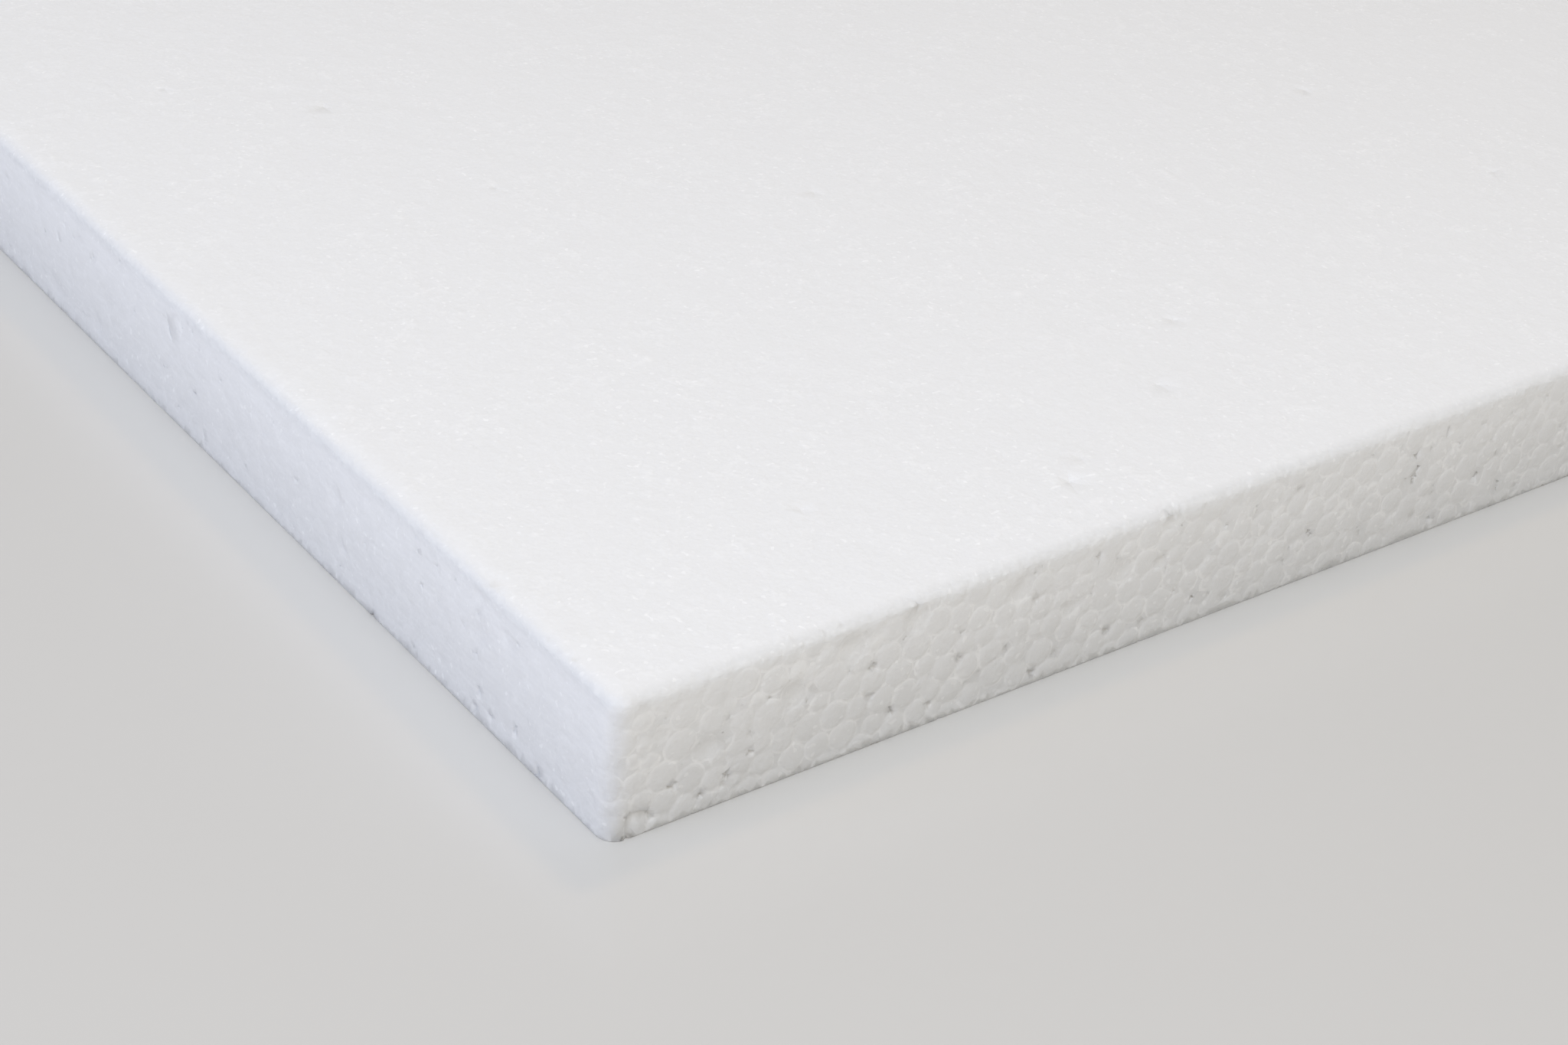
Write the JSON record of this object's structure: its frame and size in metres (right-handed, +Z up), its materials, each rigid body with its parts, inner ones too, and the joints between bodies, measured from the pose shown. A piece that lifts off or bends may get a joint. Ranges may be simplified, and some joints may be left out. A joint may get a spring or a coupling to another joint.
{
  "type": "foam insulation board",
  "caption": "Flat rectangular board of white expanded polystyrene with cut sides that show the fused beads, for thermal insulation.",
  "frame": {"origin": "middle of the underside, on the surface that the board lies on", "axes": "+X along the length, +Y along the width, +Z up through the thickness; the corner between the -X and -Y sides is the one whose marks were seen"},
  "size_m": [0.6, 0.3, 0.02],
  "materials": {
    "foam": "white expanded polystyrene, matte, with fused beads showing on the cut sides and a fine satin sparkle on the faces"
  },
  "bodies": {
    "root": {"foam_board": "foam"}
  },
  "joints": []
}
